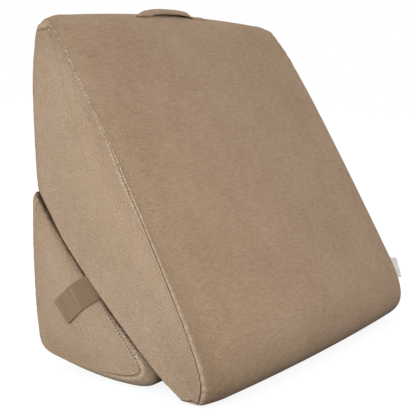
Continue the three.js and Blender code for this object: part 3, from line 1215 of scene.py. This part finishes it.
        # seam_laid carries the painted shade beside the seam; seam_fuzz gives painted shade a
        # ragged edge.
        carried = {"gap": gaps, "run": run, "laid": self._painted_shade(gaps, normals, look)}
        carried |= {key: look[key] for key in ("show", "dots", "fuzz")}
        for key, values in carried.items():
            carry(self.made, f"seam_{key}", np.broadcast_to(values, gaps.shape))
        polygons = [list(polygon.vertices) for polygon in self.made.data.polygons]
        self.tree = BVHTree.FromPolygons(self.points.tolist(), polygons)
        dressed(self.made, self.finish.make(), self.name)
        return self.made

    def measure(self, other: "Wedge") -> None:
        """Note at each vertex how far the other wedge is, for the shade in the gap."""
        distances = [other.tree.find_nearest(point)[3] for point in self.points]
        carry(self.made, "apart", np.array(distances))

    def meet(self, start: Vector, direction: Vector) -> Vector:
        """First point where a ray meets the wedge."""
        return self.tree.ray_cast(start, direction)[0]


@dataclass
class Handle:
    """Padded carry handle of the same plush, its feet sewn down along the top edge.

    It lies a little askew, its ends are cut to a point at the front, and it droops over both of
    its long edges.
    """

    support: Wedge
    finish: PlushFinish
    length: float = 0.199
    width: float = 0.022
    x: float = -0.0075
    y: float = 0.1355
    skew: float = 0.003
    thickness: float = 0.0062
    end_thickness: float = 0.0010
    left_taper: float = 0.042
    right_taper: tuple[float, float] = (0.044, 0.057)
    end_cut: tuple[float, float] = (0.042, 0.026)
    cut_length: float = 0.050
    gap: float = 0.0004
    clearance: float = 0.0037
    droop_front: float = 0.0033
    droop_back: float = 0.0060
    arch: float = 0.116
    arch_power: float = 2.5
    # Shift of the painted shade that darkens the handle near its lower edges.
    lower_edge_shade: float = 0.0012
    steps: int = 96
    across: int = 20

    def _section(self, share: float, crest: float) -> tuple[list, list]:
        """Underside and top side of the handle at one place along it.

        Args:
            share: The place, from -1 at the left end to 1 at the right end.
            crest: Height of the top edge below the middle.

        Returns:
            The points of the underside and of the top side, from front to back.
        """
        along = share * self.length / 2
        full = 1 - (1 - min((self.length / 2 + along) / self.left_taper, 1)) ** 2
        near, far = self.right_taper
        full *= 1 - min(max((along - near) / (far - near), 0), 1)
        thickness = self.end_thickness + (self.thickness - self.end_thickness) * full
        in_arch = min(abs(share) * self.length / self.arch, 1.0)
        lift = self.clearance * (1 - in_arch**self.arch_power) if in_arch < 1 else -FAR
        endness = max(1 - (self.length / 2 - abs(along)) / self.cut_length, 0.0)
        cut = self.end_cut[0] if along < 0 else -self.end_cut[1]
        under, over = [], []
        for angle in np.linspace(0, math.pi, self.across + 1):
            back = (1 - math.cos(angle)) / 2
            droop = (self.droop_front if back < 0.5 else self.droop_back) * (2 * back - 1) ** 2
            x = ORIGIN.x + self.x + along + cut * back * endness
            y = ORIGIN.y + self.y + self.skew * share / 2 + self.width * (back - 0.5)
            seat = self.support.meet(Vector((x, y, FAR)), DOWN).z + self.gap
            swell = thickness * math.sin(angle) ** 0.5
            base = max(seat, crest + lift - droop, crest - self.droop_back)
            base += (thickness - swell) / 4
            under.append((x, y, base))
            over.append((x, y, base + swell))
        return under, over

    def build(self) -> bpy.types.Object:
        """Make the handle.

        Returns:
            The dressed object.
        """
        crest = self.support.meet(ORIGIN + Vector((self.x, self.y, FAR)), DOWN).z
        rings = []
        for share in np.linspace(-1, 1, self.steps + 1):
            under, over = self._section(share, crest)
            rings.append(over + under[-2:0:-1])
        grid = np.array(rings)
        made = ring_object("carry_handle", grid, grid[[0, -1]].mean(axis=1))
        # The handle gets painted shade along its lower edges, and none from a gap.
        low = grid[:, :, 2].min(axis=1, keepdims=True)
        carry(made, "seam_gap", grid[:, :, 2] - low - self.lower_edge_shade)
        for key in ("seam_fuzz", "apart"):
            carry(made, key, np.ones(len(made.data.vertices)))
        dressed(made, self.finish.make(), "handle")
        return made


@dataclass
class Strap:
    """Webbing strap that runs out of the gap between the wedges and lies on the side panel.

    It is creased in its middle, where it bends a little downwards.
    """

    side: Side
    support: Wedge
    finish: WebbingFinish
    width: float = 0.039
    thickness: float = 0.0018
    gap: float = 0.0005
    leave: tuple[float, float] = (0.0455, 0.1393)
    crease: tuple[float, float] = (0.0776, 0.1175)
    end: tuple[float, float] = (0.1033, 0.0927)
    end_lift: float = 0.002
    wrap_depth: float = 0.018
    wrap_reach: float = 0.026
    wrap_degrees: float = 56.0
    bend_length: float = 0.004
    crease_depth: float = 0.0006
    crease_width: float = 0.0012
    steps: int = 60
    wrap_steps: int = 24
    across: int = 24

    def _offsets(self) -> np.ndarray:
        """Places across the strap."""
        return np.linspace(-0.5, 0.5, self.across + 1) * self.width

    def _legs(self) -> tuple[float, float]:
        """Lengths of the strap before and after its crease."""
        leave, crease, end = (Vector(place) for place in (self.leave, self.crease, self.end))
        return (crease - leave).length, (end - crease).length

    def _path(self, reach: float) -> tuple[Vector, Vector]:
        """Middle of the strap at a distance along it.

        Args:
            reach: The distance from where the strap leaves the gap.

        Returns:
            The point over the side panel and the direction of the strap there.
        """
        leave, crease, end = (Vector((0, *place)) for place in (self.leave, self.crease, self.end))
        first, second = (crease - leave).normalized(), (end - crease).normalized()
        turn = (crease - leave).length
        point = leave + first * min(reach, turn) + second * max(reach - turn, 0)
        share = min(max((reach - turn) / self.bend_length + 0.5, 0), 1)
        return point, first.lerp(second, share).normalized()

    def _rows(self) -> tuple[list[list[Vector]], list[Vector], np.ndarray]:
        """Rows across the strap, before it is laid on its support.

        Returns:
            The seats of each row, its outward direction, and its distance along the strap.
        """
        middle = ORIGIN + Vector((self.side.value * (WIDTH / 2 - self.wrap_reach), 0, 0))
        turns = np.radians(self.wrap_degrees) * np.arange(self.wrap_steps, 0, -1) / self.wrap_steps
        turns = np.concatenate((turns, np.zeros(self.steps + 1)))
        laid = np.linspace(self.wrap_depth, sum(self._legs()), self.steps + 1)
        reaches = np.concatenate((np.full(self.wrap_steps, self.wrap_depth), laid))
        seats, outwards = [], []
        for reach, turn in zip(reaches, turns):
            point, along = self._path(reach)
            cross = Vector((1, 0, 0)).cross(along)
            sideways = Vector((self.side.value * math.cos(turn), 0, 0))
            outwards.append(sideways - along * math.sin(turn))
            seats.append([middle + point + cross * offset for offset in self._offsets()])
        return seats, outwards, reaches

    def _heights(self, seats: list[list[Vector]], outwards: list[Vector]) -> np.ndarray:
        """How far each row has to move out so that it lies on the support.

        Args:
            seats: The seats of each row.
            outwards: The outward direction of each row.

        Returns:
            One distance for each row.
        """
        heights = []
        for row, outward in zip(seats, outwards):
            met = [self.support.meet(seat + outward * FAR, -outward) for seat in row]
            heights.append(max((point - seat).length for point, seat in zip(met, row)))
        return np.array(heights)

    def build(self) -> bpy.types.Object:
        """Make the strap.

        Returns:
            The dressed object.
        """
        seats, outwards, reaches = self._rows()
        past = reaches - self._legs()[0]
        share = (reaches - self.wrap_depth) / (reaches[-1] - self.wrap_depth)
        heights = self._heights(seats, outwards) + self.end_lift * share**4
        padded = np.pad(heights, 1, mode="edge")
        inner = np.maximum(np.maximum(padded[:-2], padded[2:]), heights) + self.gap
        outer = inner + self.thickness - self.crease_depth * bell(past, self.crease_width)
        layers = []
        for layer in (inner, outer):
            for row, outward, height in zip(seats, outwards, layer):
                layers.append([seat + outward * height for seat in row])
        points = np.array(layers)
        name = f"strap_{self.side.name.lower()}"
        made = sheet_object(f"{name}_webbing", points)
        runs = travelled(points[: len(seats), 0])
        for key, values in {"run": runs, "fold": past > 0, "crease": np.abs(past)}.items():
            carry(made, f"strap_{key}", np.tile(np.repeat(values, self.across + 1), 2))
        carry(made, "strap_across", np.tile(self._offsets(), len(points)))
        dressed(made, self.finish.make(), name)
        return made


@dataclass
class SewnTag:
    """Small folded tag that stands out of the right side seam and leans to the front."""

    support: Wedge
    finish: TagFinish
    low: tuple[float, float] = (-0.131, 0.065)
    high: tuple[float, float] = (-0.118, 0.099)
    reach: float = 0.022
    lean: float = 0.018
    pinch: float = 0.5
    thickness: float = 0.0012
    gap: float = 0.0004
    steps: int = 16

    def build(self) -> bpy.types.Object:
        """Make the tag.

        Returns:
            The dressed object.
        """
        low, high = (ORIGIN + Vector((FAR, *place)) for place in (self.low, self.high))
        shares = np.linspace(0, 1, self.steps + 1)
        roots = [self.support.meet(low.lerp(high, share), LEFTWARDS) for share in shares]
        layers = []
        for offset in (-self.thickness / 2, self.thickness / 2):
            for share in shares:
                y = offset * (1 - self.pinch * share**6) - self.lean * share**2
                moved = Vector((self.gap + self.reach * share, y, 0))
                layers.append([root + moved for root in roots])
        points = np.array(layers)
        made = sheet_object("sewn_tag", points)
        dressed(made, self.finish.make(), "label")
        return made


@dataclass(frozen=True)
class Lamp:
    """A square soft light that faces the pillow."""

    name: str
    place: tuple[float, float, float]
    power: float
    size: float
    colour: tuple[float, float, float]

    def build(self, aim: Vector) -> None:
        """Add the light.

        Args:
            aim: The point that it faces.
        """
        data = bpy.data.lights.new(self.name, "AREA")
        data.energy = self.power
        data.size = self.size
        data.color = self.colour
        made = linked(self.name, data)
        made.location = self.place
        made.rotation_euler = (aim - made.location).to_track_quat("-Z", "Y").to_euler()


@dataclass
class Studio:
    """Pale floor, soft light and the camera at the photograph's angle."""

    position: tuple[float, float, float] = (-1.2996, -0.8128, 0.4582)
    yaw: float = 56.2
    pitch: float = 9.0
    roll: float = 0.877
    lens: float = 84.04
    sensor: float = 36.0
    floor_reach: float = 6.0
    floor_drop: float = 0.0005
    floor_tones: tuple[float, float] = (0.15, 0.17)
    floor_glow: float = 0.88
    aim_height: float = 0.25
    lamps: tuple[Lamp, ...] = (
        Lamp("left_light", (-1.0, 0.05, 0.26), 4.3, 0.45, (0.84, 0.92, 1.0)),
        Lamp("front_light", (-0.45, -0.85, 0.55), 2.0, 0.5, (1.0, 0.98, 0.95)),
    )

    def build(self) -> None:
        """Make the camera, the floor and the lights."""
        self._camera()
        self._floor()
        self._lights()

    def _camera(self) -> None:
        """Camera with its yaw from the depth axis, its downward pitch and its roll."""
        yaw, pitch, roll = (math.radians(value) for value in (self.yaw, self.pitch, self.roll))
        level = Vector((math.sin(yaw), math.cos(yaw), 0)) * math.cos(pitch)
        forward = level + DOWN * math.sin(pitch)
        right = Vector((math.cos(yaw), -math.sin(yaw), 0))
        up = right.cross(forward)
        rolled_right = right * math.cos(roll) + up * math.sin(roll)
        rolled_up = up * math.cos(roll) - right * math.sin(roll)
        data = bpy.data.cameras.new("camera")
        data.lens = self.lens
        data.sensor_width = self.sensor
        camera = linked("camera", data)
        turn = Matrix((rolled_right, rolled_up, -forward)).transposed().to_4x4()
        camera.matrix_world = Matrix.Translation(ORIGIN + Vector(self.position)) @ turn
        bpy.context.scene.camera = camera

    def _floor(self) -> None:
        """Plain floor, white to the camera and dark grey to the light that it sends back."""
        signs = ((-1, -1), (1, -1), (1, 1), (-1, 1))
        corners = [(x * self.floor_reach, y * self.floor_reach, -self.floor_drop) for x, y in signs]
        floor = mesh_object("floor", np.array(corners), [(0, 1, 2, 3)])
        tree = Shading("pale_floor")
        grain = tree.noise(tree.place(), 30.0, 2.0, 0.5)
        seen = tree.node("ShaderNodeLightPath", {}, {}, "Is Camera Ray")
        glow = tree.blend(seen, grey(0.0), grey(self.floor_glow))
        tree.feed(tree.surface.inputs["Emission Color"], glow)
        colour = tree.blend(grain, *(grey(tone) for tone in self.floor_tones))
        normal = tree.raised(grain, 0.0001, 0.1)
        made = tree.finish(colour, 0.9, normal, {"Emission Strength": 1.0})
        floor.data.materials.append(made)

    def _lights(self) -> None:
        """Soft light from the left, a weaker one from the front, and a white surround."""
        for lamp in self.lamps:
            lamp.build(Vector((0, 0, self.aim_height)))
        world = bpy.data.worlds.new("surround")
        world.use_nodes = True
        background = world.node_tree.nodes["Background"].inputs
        background["Color"].default_value = grey(1.0)
        background["Strength"].default_value = 1.0
        bpy.context.scene.world = world
        bpy.context.scene.view_settings.view_transform = "Standard"


def large_wedge(finish: PlushFinish) -> Wedge:
    """The tall wedge that leans on the small one.

    Args:
        finish: The plush of its cover.

    Returns:
        The wedge, not built yet.
    """
    # top, nose, toe and heel
    outline = (
        Corner(0.143, 0.551, 0.047, 0.080, 0.004),
        Corner(-0.201, 0.037, 0.084, 0.034, 0.005),
        Corner(-0.119, -0.008, 0.012, 0.013, 0.008, 0.36),
        Corner(0.177, 0.256, 0.144, 0.014, 0.005),
    )
    seam = (
        Corner(0.127, 0.505, 0.008, 0.008, 0.012, 0.22),
        Corner(-0.149, 0.051, 0.085, 0.028, 0.001),
        Corner(-0.123, -0.011, 0.010, 0.009, 0.003),
        Corner(0.123, 0.224, 0.033, 0.033, 0.021, 1.0),
    )
    shift = (
        (0.0, 0.006), (0.03, 0.001), (0.05, -0.008), (0.08, -0.012), (0.12, -0.011), (0.19, -0.006),
        (0.27, 0.0), (0.36, 0.001), (0.6, 0.001), (0.7, 0.002), (1.7, 0.002), (2.1, 0.0015),
        (2.6, 0.001), (3.5, 0.005), (4.0, 0.001), (5.2, -0.010), (5.6, -0.022), (6.0, -0.026),
        (6.6, -0.024), (6.73, -0.005), (6.8, 0.002), (6.94, 0.0095), (7.25, 0.0075),
    )
    # slope, nose, nose edge, toe, underside, heel, back and top, each as start and end
    look = SeamLook(
        show=(
            (0.35, 0.9), (0.9, 1), (1, 1), (1, 0.6),
            (0.6, 0.2), (0.2, 0.3), (0.3, 0.5), (0.5, 0.4),
        ),
        dots=((4.0, -0.6), (0, 0), (0, 0), (0, 0), (0, 0), (0, 0), (0, 0), (-0.6, 1)),
        fuzz=((0, 0),) * 8,
        gather=((1.0, 0.2), (0.3, 0.5), (0.3, 0.2), (0.2, 0), (0, 0), (0, 0), (0, 0), (0, 0.6)),
        wrap_painted_shade=(
            (0.1, 2.6), (1, 1), (1, 0.5), (0.5, 0.3),
            (0.3, 0.3), (0.3, 0.3), (0.2, 0.1), (0.1, 0.1),
        ),
        panel_painted_shade=((0.8, 0.05), (0.1, 0), (0, 0), (0, 0), (0, 0), (0, 0), (0, 0.3), (0.5, 0.8)),
    )
    return Wedge(
        name="large_wedge",
        outline=SideView(outline),
        seam=SideView(seam),
        half_width=WIDTH / 2,
        anchor=(0.001, 0.122),
        shrink=0.032,
        roll=0.052,
        seam_inset=0.0,
        corner_pull=(0.002, 0.0, 0.010, 0.004),
        side_bow=0.004,
        settle=0.0,
        look=look,
        seam_shift=shift,
        seed=DRESS_SEED,
        finish=finish,
        fills=(
            Fill((0.304, 0.137, 0.492), 0.0026, 0.014),
            Fill((0.302, 0.131, 0.498), 0.0016, 0.009),
            Fill((0.296, 0.124, 0.508), -0.0016, 0.016),
        ),
    )


def small_wedge(finish: PlushFinish) -> Wedge:
    """The low wedge that stands under the large one.

    Args:
        finish: The plush of its cover.

    Returns:
        The wedge, not built yet.
    """
    # top, toe and heel
    outline = (
        Corner(0.180, 0.277, 0.039, 0.043, -0.001),
        Corner(-0.095, -0.015, 0.093, 0.087, 0.009),
        Corner(0.163, 0.035, 0.004, 0.014, 0.000),
    )
    seam = (
        Corner(0.160, 0.253, 0.022, 0.022, 0.002),
        Corner(-0.046, 0.017, 0.034, 0.044, 0.004),
        Corner(0.153, 0.025, 0.022, 0.022, 0.003),
    )
    # resting face, toe, base, heel, back and top, each as start and end
    look = SeamLook(
        show=((0.8, 0.8), (0.7, 0.55), (0.55, -0.8), (0.0, 0.1), (0.1, 0.15), (0.3, 0.8)),
        dots=((1, 1), (1, -0.5), (0, 0), (0, 0), (0, 0), (0, 0.5)),
        fuzz=((4.2, -0.6), (0, 0), (0, 0), (0, 0), (0, 0), (0, 0.7)),
        gather=((0.3, 0.3), (0.4, 0.4), (0.2, 0), (0, 0), (0, 0), (0.2, 0.3)),
        wrap_painted_shade=((0, 0),) * 6,
        panel_painted_shade=((0.5, 0.1), (0.1, 0.1), (0.1, 0.1), (0.1, 0.1), (0.1, 0.3), (0.5, 0.5)),
    )
    return Wedge(
        name="small_wedge",
        outline=SideView(outline),
        seam=SideView(seam),
        half_width=WIDTH / 2 - 0.005,
        anchor=(0.041, 0.066),
        shrink=0.013,
        roll=0.025,
        seam_inset=0.006,
        corner_pull=(0.004, 0.003, 0.004),
        side_bow=0.004,
        settle=0.040,
        look=look,
        seam_shift=((0.0, -0.001),),
        seed=DRESS_SEED + 1,
        finish=finish,
    )


def main() -> None:
    """Build the studio and every piece in order, and measure the gap between the two wedges."""
    logging.basicConfig(level=logging.INFO, format="%(message)s")
    Studio().build()
    plush = PlushFinish()
    large = large_wedge(plush)
    small = small_wedge(plush)
    webbing = WebbingFinish()
    builders = [
        large,
        small,
        Handle(large, plush),
        Strap(Side.LEFT, small, webbing),
        Strap(Side.RIGHT, small, webbing),
        SewnTag(large, TagFinish()),
    ]
    for builder in builders:
        made = builder.build()
        LOG.info("%s: %d faces", made.name, len(made.data.polygons))
    large.measure(small)
    small.measure(large)


if __name__ == "__main__":
    main()
